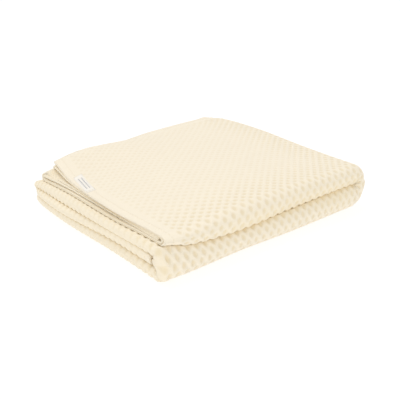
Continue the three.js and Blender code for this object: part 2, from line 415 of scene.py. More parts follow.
    def settle(self, x: Array, y: Array, z: Array) -> Array:
        """The even stack, settled; the underside stays flat.

        Args:
            x: From the open left end to the closed right end.
            y: From the front fold to the back.
            z: Height in the even stack.

        Returns:
            Points, one row each.
        """
        how = self.settling
        upper = z > self.mid_level
        low = z / self.mid_level
        high = low - 1
        taper = ease(1 - x / how.taper_reach) * np.where(upper, how.upper_taper, how.lower_taper)
        front = np.where(upper, how.front(Bundle.UPPER, x), how.front(Bundle.LOWER, x))
        y = self.front_edge + (y - self.front_edge) * (1 - how.slack - taper)
        y = y + front * ease(1 - (y - self.front_edge) / how.front_reach)
        left = np.where(upper, how.left(Bundle.UPPER, y, high), how.left(Bundle.LOWER, y, low))
        left = left * ease(1 - x / how.left_reach)
        x = np.minimum(x, self.over_start) + how.bend_flattening * np.maximum(x - self.over_start, 0)
        from_right = self.over_start + how.bend_flattening * self.mid_level - x
        x = x + left + how.right(y) * ease(1 - from_right / how.right_reach)
        lower_height = how.height(Bundle.LOWER, x, y)
        pairs = how.hem_pairs * high
        near_left = ease(1 - x / how.pairing_reach)
        paired = (pairs + how.hem_pairing * near_left * np.sin(math.tau * pairs) / math.tau) / how.hem_pairs
        corner = near_left * ease((y - how.corner_start) / how.corner_reach)
        lifted = paired * (1 - how.corner_lift * corner * (1 - paired))
        above = lower_height + how.height(Bundle.UPPER, x, y) * lifted
        return side_by_side(x, y, np.where(upper, above, lower_height * low))

    def folded(self, at: Flat, depth: Depth) -> Array:
        """Where flat points end up, before the hem is pressed thin.

        Args:
            at: Flat points.
            depth: Depths below the outer face.

        Returns:
            Points, one row each.
        """
        x, z = self.fold_in_half(at.along, depth)
        y, z = self.fold_in_thirds(at.across, x, z)
        x, z = self.fold_over(x, z)
        return self.settle(x, y, z)

    def edge_distance(self, at: Flat) -> Array:
        """Distance of flat points to the nearest edge of the cloth."""
        sides = [at.along, self.length - at.along, at.across, self.width - at.across]
        return np.minimum.reduce(sides)

    def near_edge(self, at: Flat) -> Array:
        """How near an edge flat points lie, from 0 inside the hem band to 1 at the edge."""
        return ease(1 - self.edge_distance(at) / self.hem_band)

    def bend_distance(self, at: Flat) -> tuple[Array, Array]:
        """Distance of flat points to the bends, below zero inside a bend.

        Args:
            at: Flat points.

        Returns:
            Distances to the first fold's bend, and to the nearest of the other bends.
        """
        past = np.abs(at.along - self.middle)
        others = [
            np.abs(past - self.over_middle) - self.over_bend / 2,
            np.abs(at.across - self.front_middle) - self.front_bend / 2,
            np.abs(at.across - self.back_middle) - self.back_bend / 2,
        ]
        return past - self.half_bend / 2, np.minimum.reduce(others)

    def hemmed(self, at: Flat) -> Array:
        """How thin the hem is pressed at flat points: all of it at an edge, less of it at a bend."""
        near_bend = ease(1 - np.minimum(*self.bend_distance(at)) / self.hem_band)
        return self.near_edge(at) * (1 - self.hem_softness * near_bend)

    def place(self, at: Flat, depth: Depth) -> Array:
        """Where flat points end up, in the fold's own frame.

        Args:
            at: Flat points.
            depth: Depths below the outer face.

        Returns:
            Points, one row each.
        """
        middle = self.folded(at, self.ply / 2)
        offset = self.folded(at, depth) - middle
        size = np.maximum(np.linalg.norm(offset, axis=-1), self.least_offset)
        pressed = np.minimum(1.0, self.hem_ply / 2 / size)
        hem = self.hemmed(at)
        keep = 1 + (pressed - 1) * hem
        half = np.linalg.norm(self.folded(at, 0.0) - middle, axis=-1)
        middle[:, 2] -= hem * np.maximum(half - self.hem_ply / 2, 0)
        return middle + offset * keep[:, None]

    def outward(self, at: Flat) -> Array:
        """Directions out of the outer face."""
        return unit(self.folded(at, 0.0) - self.folded(at, self.ply / 2))

    def above(self, at: Flat, lift: Array) -> Array:
        """Points at a height above the plain outer face."""
        return self.place(at, 0.0) + self.outward(at) * lift[:, None]

    def from_edge(self, at: Flat) -> Array:
        """How much flat points count as inside the stack, for the painted shade between plies: less at an
        edge, and 1 from the hem inwards.
        """
        return 1 - self.rim_share * self.near_edge(at)

    def in_front_crease(self, at: Flat) -> Array:
        """How far the outer face lies in the crease between the two front folds, where shade is painted.

        The painted shade begins further out above the crease, and in a pocket beside the last fold's bend.
        It is fainter near the hems and the rolls.

        Args:
            at: Flat points.

        Returns:
            Shares from 0 in the open to 1 well inside the crease.
        """
        past = np.abs(at.along - self.middle)
        before_bend = self.over_start + self.half_bend / 2 - past
        upper = ease(-before_bend / self.over_bend)
        pocket = ease(1 - np.abs(before_bend - self.pocket_place) / self.pocket_length)
        reach = self.lower_reach + (self.upper_reach - self.lower_reach) * upper + self.pocket_reach * pocket
        inward = at.across - self.front_end
        shade = ease((inward + reach) / (reach + self.shelf / 2))
        from_ends = ease(np.minimum(at.along, past) / self.faint_reach)
        faint = self.faint_share + (1 - self.faint_share) * from_ends
        return shade * np.maximum(faint, ease(inward / self.shelf))

    def tucked(self, at: Flat) -> Array:
        """How much yellow-brown painted shade the outer face takes where it lies between plies, for the
        darker, yellower light that bounces between the yarn there.

        The rolls at the left take part of it, as painted bounce light, because they lie against each other.

        Args:
            at: Flat points.

        Returns:
            Shares from 0 in the open to 1 well inside the stack.
        """
        past = np.abs(at.along - self.middle)
        outside = at.along < self.middle
        top_of_roll = outside & (at.across > self.front_end) & (at.across < self.back_start)
        from_bight = ease((past - np.where(top_of_roll, self.shelf, 0)) / self.shelf)
        from_back = ease((np.abs(at.across - self.back_middle) - self.back_bend / 2) / self.ply)
        between = from_bight * np.where(outside, self.in_front_crease(at) * from_back, 1.0)
        # Painted bounce light on the rolls, in the same yellow-brown as the shade between the plies.
        on_roll = self.bight_shade * ease(1 - past / self.bight_reach)
        return self.from_edge(at) * np.maximum(between, on_roll)


@dataclass(frozen=True)
class HoneycombKnit:
    """A raised net of yarn around sunken cells.

    The cells are more open at the wide bends. They close a little at the tight bend of the first fold, but
    open on its shoulders, where one roll meets the next.
    """

    pitch_along: float = 9.1
    pitch_across: float = 8.4
    first_row: float = 502.3
    depth: float = 0.85
    loft: float = 0.5
    rim: float = 0.25
    flat_share: float = 0.45
    bight_closing: float = 0.15
    shoulder: float = 3.8
    shoulder_reach: float = 4.0
    shoulder_share: float = 0.9
    open_reach: float = 40.0
    plain_edge: float = 12.0
    fade: float = 4.0

    def cell(self, at: Flat) -> Array:
        """How far flat points lie inside a cell.

        Args:
            at: Flat points.

        Returns:
            Shares from 0 on the net to 1 at the middle of a cell.
        """
        rows = (at.along - self.first_row) / self.pitch_along
        columns = at.across / self.pitch_across
        inside = np.abs(np.sin(math.pi * (rows + columns)) * np.sin(math.pi * (rows - columns)))
        return ease((inside - self.rim) / (1 - self.rim))

    def knitted(self, cloth: FoldedCloth, at: Flat) -> Array:
        """Share of the knit's relief at flat points: none at the hems, all of it inside them."""
        return ease((cloth.edge_distance(at) - self.plain_edge) / self.fade)

    def openness(self, cloth: FoldedCloth, at: Flat) -> Array:
        """How open the cells are.

        Args:
            cloth: The cloth, which knows its bends.
            at: Flat points.

        Returns:
            Shares from 0 at the hems to 1 at a wide bend.
        """
        first, others = cloth.bend_distance(at)
        open_share = self.flat_share + (1 - self.flat_share) * ease(1 - others / self.open_reach)
        share = open_share * (1 - self.bight_closing * ease(1 - first / self.open_reach))
        on_shoulder = self.shoulder_share * ease(1 - np.abs(first - self.shoulder) / self.shoulder_reach)
        return self.knitted(cloth, at) * (share + (1 - share) * on_shoulder)

    def sunken(self, cloth: FoldedCloth, at: Flat) -> Array:
        """Depth of the cells below the plain outer face at flat points."""
        return self.openness(cloth, at) * self.depth * self.cell(at)

    def raised(self, cloth: FoldedCloth, at: Flat) -> Array:
        """Height of the net above the plain outer face at flat points."""
        return self.knitted(cloth, at) * self.loft * (1 - self.openness(cloth, at) * self.cell(at))


class Number:
    """A number in a shader. Python's operators on it add Math nodes."""

    def __init__(self, graph: "Graph", socket: bpy.types.NodeSocket) -> None:
        """Wrap an output socket of a graph."""
        self.graph = graph
        self.socket = socket

    def math(self, operation: str, *operands: Operand) -> "Number":
        """One Math node, with this number as its first input."""
        return self.graph.math(operation, self, *operands)

    def __add__(self, other: Operand) -> "Number":
        """Sum."""
        return self.math("ADD", other)

    __radd__ = __add__

    def __mul__(self, other: Operand) -> "Number":
        """Product."""
        return self.math("MULTIPLY", other)

    __rmul__ = __mul__

    def __sub__(self, other: Operand) -> "Number":
        """Difference."""
        return self.math("SUBTRACT", other)

    def __rsub__(self, other: Operand) -> "Number":
        """Difference, with this number taken away."""
        return self.graph.math("SUBTRACT", other, self)

    def __truediv__(self, other: Operand) -> "Number":
        """Quotient."""
        return self.math("DIVIDE", other)

    def __rtruediv__(self, other: Operand) -> "Number":
        """Quotient, with this number as the divisor."""
        return self.graph.math("DIVIDE", other, self)

    def __abs__(self) -> "Number":
        """Size without sign."""
        return self.math("ABSOLUTE")

    def below(self, limit: Operand) -> "Number":
        """1 where this number is below a limit, and 0 elsewhere."""
        return self.math("LESS_THAN", limit)

    def sine(self) -> "Number":
        """Sine of this number as an angle."""
        return self.math("SINE")

    def part(self) -> "Number":
        """What is left after the whole number."""
        return self.math("FRACT")

    def as_share(self) -> "Number":
        """A number from -1 to 1 as a share from 0 to 1."""
        return self * 0.5 + 0.5


class Graph:
    """The node tree of one material."""

    def __init__(self, name: str) -> None:
        """Make a material with an empty node tree.

        Args:
            name: Name of the material.
        """
        self.material = bpy.data.materials.new(name)
        self.material.use_nodes = True
        self.tree = self.material.node_tree
        self.tree.nodes.clear()

    def node(self, kind: str, settings: dict[str, Any], inputs: dict[Any, Any]) -> bpy.types.Node:
        """Add a node.

        Args:
            kind: Type of the node.
            settings: Its settings by name, which are set first.
            inputs: Values, numbers or output sockets, by the input's name or place.

        Returns:
            The node.
        """
        node = self.tree.nodes.new(kind)
        for name, value in settings.items():
            setattr(node, name, value)
        for name, value in inputs.items():
            if isinstance(value, Number):
                value = value.socket
            if isinstance(value, bpy.types.NodeSocket):
                self.tree.links.new(value, node.inputs[name])
            else:
                node.inputs[name].default_value = value
        return node

    def math(self, operation: str, *operands: Operand) -> Number:
        """Add one Math node and wrap its result."""
        node = self.node("ShaderNodeMath", {"operation": operation}, dict(enumerate(operands)))
        return Number(self, node.outputs[0])

    def number(self, node: bpy.types.Node, output: str) -> Number:
        """One output of a node as a number."""
        return Number(self, node.outputs[output])

    def flat_place(self) -> tuple[Number, Number]:
        """The two flat coordinates that a mesh keeps, in millimetres.

        Returns:
            The first and the second coordinate.
        """
        place = self.node("ShaderNodeUVMap", {"uv_map": FLAT_LAYER}, {})
        split = self.node("ShaderNodeSeparateXYZ", {}, {"Vector": place.outputs["UV"]})
        return self.number(split, "X") / MILLIMETRE, self.number(split, "Y") / MILLIMETRE

    def mark(self, mark: Mark) -> Number:
        """A value that the mesh keeps at its points."""
        node = self.node("ShaderNodeAttribute", {"attribute_name": mark.value}, {})
        return self.number(node, "Fac")

    def mix(self, share: Number, first: Any, second: Any) -> bpy.types.NodeSocket:
        """Blend of two colours or colour sockets."""
        inputs = {"Factor": share, 6: first, 7: second}
        return self.node("ShaderNodeMix", {"data_type": "RGBA"}, inputs).outputs[2]

    def bump(self, height: Number, strength: float, distance: float) -> bpy.types.NodeSocket:
        """Normal of a fine relief, whose distance is in metres."""
        inputs = {"Height": height, "Strength": strength, "Distance": distance}
        return self.node("ShaderNodeBump", {}, inputs).outputs["Normal"]

    def finish(self, inputs: dict[str, Any]) -> bpy.types.Material:
        """Close the tree with one surface shader.

        Args:
            inputs: Inputs of the shader.

        Returns:
            The material.
        """
        shader = self.node("ShaderNodeBsdfPrincipled", {}, inputs)
        self.node("ShaderNodeOutputMaterial", {}, {"Surface": shader.outputs["BSDF"]})
        return self.material


@dataclass(frozen=True)
class CreamCotton:
    """Matte cream cotton yarn in small stitches, with painted shade in its cells and between its stitches,
    and a yellow-brown painted shade between the plies.
    """

    knit: HoneycombKnit = field(default_factory=HoneycombKnit)
    net: Colour = (0.985, 0.89, 0.72, 1.0)
    # Painted shade: the darker, browner colour that the cells' hollows and the stitches' grooves are painted
    # toward.
    cell: Colour = (0.88, 0.76, 0.54, 1.0)
    shade: Colour = (0.94, 0.845, 0.67, 1.0)
    # Painted shade: the yellow-brown colour between the plies, in the front crease and on the rolls.
    crevice_shade: Colour = (0.925, 0.79, 0.535, 1.0)
    cell_shade_share: float = 0.88
    # How far the grooves between the stitches are painted toward the cell colour, as painted shade.
    groove_shade_share: float = 0.12
    wale: float = 1.7
    course: float = 1.3
    lean: float = 0.5
    loop_share: float = 0.6
    stitch_bump: float = 0.00022
    bump_strength: float = 0.6
    mottle_scale: float = 55.0
    mottle_detail: float = 3.0
    mottle_share: float = 0.35
    roughness: float = 0.95
    stitch_gloss: float = 0.06
    sheen: float = 0.25
    sheen_roughness: float = 0.6
    specular: float = 0.2

    def inside(self, graph: Graph, along: Number, across: Number) -> Number:
        """How far a flat place lies inside a cell of the knit.

        Args:
            graph: Node tree to add to.
            along: Distance along the cloth.
            across: Distance across the cloth.

        Returns:
            A share, as HoneycombKnit.cell gives it.
        """
        rows = (along - self.knit.first_row) * (math.pi / self.knit.pitch_along)
        columns = across * (math.pi / self.knit.pitch_across)
        inside = abs((rows + columns).sine() * (rows - columns).sine())
        smooth = {"interpolation_type": "SMOOTHSTEP"}
        inputs = {"Value": inside, "From Min": self.knit.rim, "From Max": 1.0}
        return graph.number(graph.node("ShaderNodeMapRange", smooth, inputs), "Result")

    def stitch(self, along: Number, across: Number) -> Number:
        """Height of the small stitches.

        Args:
            along: Distance along the cloth.
            across: Distance across the cloth.

        Returns:
            A share from 0 in the grooves to 1 on the loops.
        """
        leg = abs((across / self.wale).part() - 0.5) * 2.0
        slant = along / self.course + leg * self.lean
        loop = (slant * math.tau).sine().as_share()
        groove = abs((leg * math.pi).sine())
        return loop * self.loop_share + groove * (1 - self.loop_share)

    def material(self) -> bpy.types.Material:
        """The finish as a material.

        Returns:
            The material.
        """
        graph = Graph("cream_cotton")
        along, across = graph.flat_place()
        stitch = self.stitch(along, across)
        # The cells' hollows are painted darker, as painted shade, as far as they are open.
        hollow = self.inside(graph, along, across) * graph.mark(Mark.OPENNESS)
        blotches = {"Scale": self.mottle_scale, "Detail": self.mottle_detail}
        mottle = graph.number(graph.node("ShaderNodeTexNoise", {}, blotches), "Fac")
        yarn = graph.mix(mottle * self.mottle_share, self.net, self.shade)
        # Painted shade in the cells' hollows and in the grooves between the stitches.
        share = hollow * self.cell_shade_share + (1.0 - stitch) * self.groove_shade_share
        knitted = graph.mix(share, yarn, self.cell)
        # Yellow-brown painted shade between the plies and on the rolls, strongest in the cells' hollows.
        tucked = graph.mark(Mark.TUCKED)
        crevice_shade_share = tucked * (hollow + (1.0 - hollow) * tucked)
        return graph.finish(
            {
                "Base Color": graph.mix(crevice_shade_share, knitted, self.crevice_shade),
                "Roughness": self.roughness - stitch * self.stitch_gloss,
                "Normal": graph.bump(stitch, self.bump_strength, self.stitch_bump),
                "Sheen Weight": self.sheen,
                "Sheen Roughness": self.sheen_roughness,
                "Specular IOR Level": self.specular,
            }
        )


@dataclass(frozen=True)
class WovenRibbon:
    """White woven ribbon, with two plain rows of grey dashes woven in."""

    white: Colour = (0.99, 0.945, 0.855, 1.0)
    weft: Colour = (0.975, 0.915, 0.825, 1.0)
    grey: Colour = (0.42, 0.42, 0.44, 1.0)
    thread: float = 0.35
    dash_pitch: float = 3.4
    dash_share: float = 0.66
    dash_width: float = 1.5
    dash_strength: float = 0.85
    row_gap: float = 1.6
    row_length: float = 28.0
    weave_bump: float = 0.00012
    bump_strength: float = 0.5
    roughness: float = 0.6
    weave_gloss: float = 0.12
    sheen: float = 0.15
    specular: float = 0.4

    def dashes(self, length: Number, width: Number) -> Number:
        """Where the dashes lie.

        Args:
            length: Distance along the label from its middle.
            width: Distance across the label from its middle.

        Returns:
            1 on a dash, and 0 elsewhere.
        """
        in_row = abs(length).below(self.row_length / 2)
        from_row = abs(abs(width) - (self.dash_width + self.row_gap) / 2)
        in_width = from_row.below(self.dash_width / 2)
        in_dash = (length / self.dash_pitch + 0.5 * self.dash_share).part().below(self.dash_share)
        return in_row * in_width * in_dash

    def material(self) -> bpy.types.Material:
        """The finish as a material.

        Returns:
            The material.
        """
        graph = Graph("woven_ribbon")
        length, width = graph.flat_place()
        warp = (width * (math.tau / self.thread)).sine()
        weft = (length * (math.tau / self.thread)).sine()
        weave = (warp * weft).as_share()
        cloth = graph.mix(weave, self.weft, self.white)
        return graph.finish(
            {
                "Base Color": graph.mix(self.dashes(length, width) * self.dash_strength, cloth, self.grey),
                "Roughness": self.roughness - weave * self.weave_gloss,
                "Normal": graph.bump(weave, self.bump_strength, self.weave_bump),
                "Sheen Weight": self.sheen,
                "Specular IOR Level": self.specular,
            }
        )


@dataclass(frozen=True)
class SewingThread:
    """Fine twisted cotton thread."""

    light: Colour = (0.96, 0.87, 0.70, 1.0)
    dark: Colour = (0.90, 0.80, 0.62, 1.0)
    twist: float = 0.5
    twist_bump: float = 0.0001
    bump_strength: float = 0.5
    roughness: float = 0.8
    twist_gloss: float = 0.1

    def material(self) -> bpy.types.Material:
        """The finish as a material.

        Returns:
            The material.
        """
        graph = Graph("sewing_thread")
        length, around = graph.flat_place()
        strand = ((length / self.twist + around) * math.tau).sine().as_share()
        return graph.finish(
            {
                "Base Color": graph.mix(strand, self.dark, self.light),
                "Roughness": self.roughness - strand * self.twist_gloss,
                "Normal": graph.bump(strand, self.bump_strength, self.twist_bump),
            }
        )


@dataclass(frozen=True)
class LightTable:
    """Plain matt white table that is lit from below, so that shadows on it stay faint."""

    white: Colour = (0.35, 0.35, 0.35, 1.0)
    glow: Colour = (1.0, 1.0, 1.0, 1.0)
    glow_strength: float = 0.7
    roughness: float = 0.9

    def material(self) -> bpy.types.Material:
        """The finish as a material.

        Returns:
            The material.
        """
        return Graph("light_table").finish(
            {
                "Base Color": self.white,
                "Roughness": self.roughness,
                "Emission Color": self.glow,
                "Emission Strength": self.glow_strength,
            }
        )


@dataclass(frozen=True)
class Row:
    """Points in a row: their numbers in the mesh and their places along the row."""

    ids: Array
    places: Array


class MeshDraft:
    """Points, faces and flat coordinates of a mesh in the making, in millimetres."""

    def __init__(self) -> None:
        """Start with nothing."""
        self.points: list[Array] = []
        self.flat: list[Array] = []
        self.marks: list[Array] = []
        self.faces: list[tuple[int, ...]] = []
        self.count = 0

    def add(self, points: Array, flat: Array, marks: Optional[Array] = None) -> Array:
        """Add points.

        Args:
            points: Places, one row each.
            flat: Flat coordinates, one row each.
            marks: A column of values for each kind of mark.

        Returns:
            Their numbers in the mesh.
        """
        self.points.append(points)
        self.flat.append(flat)
        self.marks.append(np.zeros((len(points), len(Mark))) if marks is None else marks)
        numbers = np.arange(self.count, self.count + len(points))
        self.count += len(points)
        return numbers

    def zip_rows(self, first: Row, second: Row) -> None:
        """Fill between two rows, with quads where both have a point and triangles elsewhere.

        Args:
            first: One row.
            second: The other row, which starts and ends at the same places.
        """
        i = 0
        j = 0
        while i + 1 < len(first.ids) or j + 1 < len(second.ids):
            next_first = first.places[i + 1] if i + 1 < len(first.ids) else math.inf
            next_second = second.places[j + 1] if j + 1 < len(second.ids) else math.inf
            corners = [first.ids[i]]
            if next_first <= next_second:
                corners.append(first.ids[i + 1])
            if next_second <= next_first:
                corners.append(second.ids[j + 1])
            corners.append(second.ids[j])
            self.faces.append(tuple(int(corner) for corner in corners))
            i += int(next_first <= next_second)
            j += int(next_second <= next_first)

    def close_sheet(self, *sheet: dict[int, Row]) -> None:
        """Fill both faces of a sheet and close it all round.

        Args:
            sheet: The rows of the outer face and of the inner face, by their place along the sheet.
        """
        for face in sheet:
            rows = list(face.values())
            for before, after in zip(rows, rows[1:]):
                self.zip_rows(before, after)
        for end in (0, -1):
            self.zip_rows(*(list(face.values())[end] for face in sheet))
            sides = []
            for face in sheet:
                ids = np.array([row.ids[end] for row in face.values()])
                sides.append(Row(ids, np.array(list(face))))
            self.zip_rows(*sides)

    def build(self, name: str, shift: Array, material: bpy.types.Material) -> bpy.types.Object:
        """Make the mesh object.

        Args:
            name: Name of the piece.
            shift: Move into the frame, in millimetres.
            material: Finish of all its faces.

        Returns:
            The object, smooth and linked to the scene.
        """
        points = (np.concatenate(self.points) + shift) * MILLIMETRE
        flat = np.concatenate(self.flat) * MILLIMETRE
        mesh = bpy.data.meshes.new(name)
        mesh.from_pydata(points.tolist(), [], self.faces)
        corners = np.zeros(len(mesh.loops), np.int32)
        mesh.loops.foreach_get("vertex_index", corners)
        layer = mesh.uv_layers.new(name=FLAT_LAYER)
        layer.data.foreach_set("uv", flat[corners].astype(np.float32).ravel())
        for mark, values in zip(Mark, np.concatenate(self.marks).T):
            attribute = mesh.attributes.new(mark.value, "FLOAT", "POINT")
            attribute.data.foreach_set("value", values.astype(np.float32))
        work = bmesh.new()
        work.from_mesh(mesh)
        bmesh.ops.recalc_face_normals(work, faces=work.faces)
        work.to_mesh(mesh)
        work.free()
        mesh.shade_smooth()
        mesh.materials.append(material)
        piece = bpy.data.objects.new(name, mesh)
        bpy.context.scene.collection.objects.link(piece)
        return piece


@dataclass
class Blanket:
    """The blanket: one closed sheet, folded, dense where it shows and sparse between the plies."""

    cloth: FoldedCloth
    knit: HoneycombKnit = field(default_factory=HoneycombKnit)
    steps_per_cell: int = 6
    sparse: int = 8
    flat_sparse: int = 4
    bend_sparse: int = 2
    show_in: float = 10
    hem_lines: tuple[float, ...] = (0.0, 1.5, 3.5, 5.5, 8.0)

    def lines(self, size: float, pitch: float, refine: tuple[float, float]) -> Array:
        """Places of the mesh lines over one side of the cloth, in step with the knit.

        Args:
            size: Length of the side.
            pitch: Pitch of the knit along it.
            refine: Stretch that has twice as many lines.

        Returns:
            Rising places.
        """
        step = pitch / self.steps_per_cell
        even = np.arange(self.hem_lines[-1] + step, size - self.hem_lines[-1], step)
        extra = np.arange(refine[0], refine[1], step / 2)
        hems = np.array(self.hem_lines)
        places = np.unique(np.concatenate([hems, even, extra, size - hems]))
        keep = np.concatenate([[True], np.diff(places) > step / 4])
        keep[-1] = True
        return places[keep]

    def chosen(self, places: Array, stretches: list[tuple[float, float, int]]) -> Array:
        """Which lines stay: every one of the sparse ones, and more in some stretches.

        Args:
            places: Places of all lines.
            stretches: From, to, and one line kept in this many.

        Returns:
            True for each line that stays.
        """
        order = np.arange(len(places))
        keep = order % self.sparse == 0
        for start, end, every in stretches:
            keep |= (places >= start) & (places <= end) & (order % every == 0)
        keep[[0, -1]] = True
        return keep

    def lines_across(self, across: Array) -> list[Array]:
        """Which lines across the cloth stay in each stretch along it.

        Args:
            across: Places of all lines.

        Returns:
            Choices for the top ply, the last fold's bend, the underside, the rolls and the hidden plies.
        """
        cloth = self.cloth
        hem = self.hem_lines[-1]
        hems = [(0, hem, 1), (cloth.width - hem, cloth.width, 1)]
        bends = [
            (cloth.panel - self.show_in, cloth.front_end + self.show_in, self.bend_sparse),
            (cloth.back_start, cloth.back_end, self.bend_sparse),
        ]
        shown_bends = [
            (cloth.panel - self.knit.open_reach, cloth.front_end + self.show_in, 1),
            (cloth.back_start - self.show_in, cloth.back_end + self.show_in, 1),
        ]
        hidden = self.chosen(across, hems + bends)
        under = hidden | self.chosen(across, shown_bends)
        top = under | self.chosen(across, [(0, cloth.panel, self.flat_sparse)])
        turned = under | self.chosen(across, [(0, cloth.panel, 1)])
        return [top, turned, under, np.ones_like(under), hidden]

    def draft(self) -> MeshDraft:
        """Lay out the cloth's mesh.

        Returns:
            The mesh, in the fold's own frame.
        """
        cloth = self.cloth
        middle = cloth.middle
        bight = (middle - cloth.half_bend, middle + cloth.half_bend)
        along = self.lines(cloth.length, self.knit.pitch_along, bight)
        across = self.lines(cloth.width, self.knit.pitch_across, (0.0, 0.0))
        choices = self.lines_across(across)
        rolls = (middle - cloth.half_bend / 2 - self.show_in, middle + cloth.half_bend / 2 + self.show_in)
        over = cloth.half_bend / 2 + cloth.over_start
        upper_bend = (middle - over - cloth.over_bend, middle - over)
        lower_bend = (middle + over, middle + over + cloth.over_bend)
        hem = self.hem_lines[-1]
        hems = [(0, hem, 1), (cloth.length - hem, cloth.length, 1)]
        bends = [(*upper_bend, self.bend_sparse), (*lower_bend, self.bend_sparse), (*rolls, 1)]
        inner_rows = self.chosen(along, hems + bends)
        outer_rows = inner_rows | (along < rolls[1])
        near = self.knit.open_reach
        stretch_ends = [upper_bend[0] - near, upper_bend[1] + near, *rolls]
        draft = MeshDraft()
        outer: dict[int, Row] = {}
        inner: dict[int, Row] = {}
        for number, place in enumerate(along):
            if outer_rows[number]:
                choice = choices[np.searchsorted(stretch_ends, place)]
                outer[number] = self.row(draft, Face.OUTER, place, across, choice)
            if inner_rows[number]:
                inner[number] = self.row(draft, Face.INNER, place, across, choices[-1])
        draft.close_sheet(outer, inner)
        return draft

    def row(self, draft: MeshDraft, face: Face, place: float, across: Array, choice: Array) -> Row:
        """Add one row of points of the outer face, with the knit's relief, or of the plain inner face.

        Args:
            draft: Mesh to add to.
            face: Which face.
            place: Place along the cloth.
            across: Places of all lines across the cloth.
            choice: Which of them the row has.

        Returns:
            The row.
        """
        at = Flat(np.full(np.count_nonzero(choice), place), across[choice])
        if face is Face.OUTER:
            net = self.cloth.outward(at) * self.knit.raised(self.cloth, at)[:, None]
            points = self.cloth.place(at, self.knit.sunken(self.cloth, at)) + net
            # The openness sets the painted shade in the cells; the second mark is the yellow-brown painted
            # shade between the plies.
            marks = side_by_side(self.knit.openness(self.cloth, at), self.cloth.tucked(at))
        else:
            points = self.cloth.place(at, self.cloth.ply)
            # The inner face lies between plies, so it takes the yellow-brown painted shade, less at its
            # edges.
            marks = side_by_side(np.zeros_like(at.across), self.cloth.from_edge(at))
        return Row(draft.add(points, side_by_side(at.along, at.across), marks), np.flatnonzero(choice))

    def dress(self, draft: MeshDraft, shift: Array, finish: CreamCotton) -> bpy.types.Object:
        """Make the piece from its mesh.

        Args:
            draft: The cloth's mesh.
            shift: Move into the frame.
            finish: Finish of the knit.

        Returns:
            The piece.
        """
        piece = draft.build("knitted_blanket", shift, finish.material())
        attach(piece, "root")
        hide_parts("blanket")
        return piece


@dataclass
class Stitches:
    """Rows of short stitches that lie on the outer face of the cloth."""

    cloth: FoldedCloth
    thread: float = 0.55
    end_share: float = 0.55
    rings: int = 5
    sides: int = 6

    def sew(self, starts: Array, ends: Array, lift: float, base: float = 0.0) -> MeshDraft:
        """Sew stitches, each a short arch of thread that is thinner at its ends.

        Args:
            starts: Flat points where the stitches begin, one row each.
            ends: Flat points where they end.
            lift: How high they stand in their middle.
            base: Height of what they are sewn through, above the cloth.

        Returns:
            Their mesh.
        """
        draft = MeshDraft()
        share = np.linspace(0, 1, self.rings)
        flat = starts[:, None, :] * (1 - share[:, None]) + ends[:, None, :] * share[:, None]
        at = Flat(flat[..., 0].ravel(), flat[..., 1].ravel())
        arch = np.tile(np.sin(np.pi * share), len(starts))
        centres = self.cloth.above(at, base - self.thread / 2 + (lift + self.thread / 2) * arch)
        shape = (len(starts), self.rings, 3)
        run = unit(np.gradient(centres.reshape(shape), axis=1)).reshape(-1, 3)
        side = unit(np.cross(run, self.cloth.outward(at)))
        over = np.cross(side, run)
        angles = np.linspace(0, math.tau, self.sides, endpoint=False)
        radius = self.thread / 2 * (self.end_share + (1 - self.end_share) * arch)
        round_side = np.cos(angles)[None, :, None] * side[:, None, :]
        ring = round_side + np.sin(angles)[None, :, None] * over[:, None, :]
        points = centres[:, None, :] + ring * radius[:, None, None]
        lengths = np.linalg.norm(ends - starts, axis=-1)[:, None] * share
        around = np.broadcast_to(angles / math.tau, (len(centres), self.sides))
        along = np.broadcast_to(lengths.ravel()[:, None], around.shape)
        ids = draft.add(points.reshape(-1, 3), side_by_side(along, around).reshape(-1, 2))
        for stitch in ids.reshape(len(starts), self.rings, self.sides).tolist():
            for before, after in zip(stitch, stitch[1:]):
                for k in range(self.sides):
                    n = (k + 1) % self.sides
                    draft.faces.append((before[k], before[n], after[n], after[k]))
            draft.faces.append(tuple(stitch[0]))
            draft.faces.append(tuple(reversed(stitch[-1])))
        return draft


@dataclass
class Hem:
    """The line of stitches that holds the hem, all round the cloth."""

    cloth: FoldedCloth
    from_edge: float = 7.0
    stitch: float = 2.6
    pitch: float = 3.3
    lift: float = 0.15

    def build(self, shift: Array, finish: SewingThread) -> bpy.types.Object:
        """Sew the hem and dress it.

        Args:
            shift: Move into the frame.
            finish: Finish of the thread.

        Returns:
            The piece.
        """
        inset = self.from_edge
        far = (self.cloth.length - inset, self.cloth.width - inset)
        corners = [(inset, inset), (far[0], inset), far, (inset, far[1])]
        starts = []
        ends = []
        for corner, after in zip(corners, corners[1:] + corners[:1]):
            way = np.array(after) - np.array(corner)
            length = float(np.linalg.norm(way))
            heads = np.arange(0, length - self.stitch, self.pitch)[:, None] * way / length + corner
            starts.append(heads)
            ends.append(heads + self.stitch * way / length)
        draft = Stitches(self.cloth).sew(np.concatenate(starts), np.concatenate(ends), self.lift)
        piece = draft.build("hem_stitches", shift, finish.material())
        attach(piece, "root")
        return piece


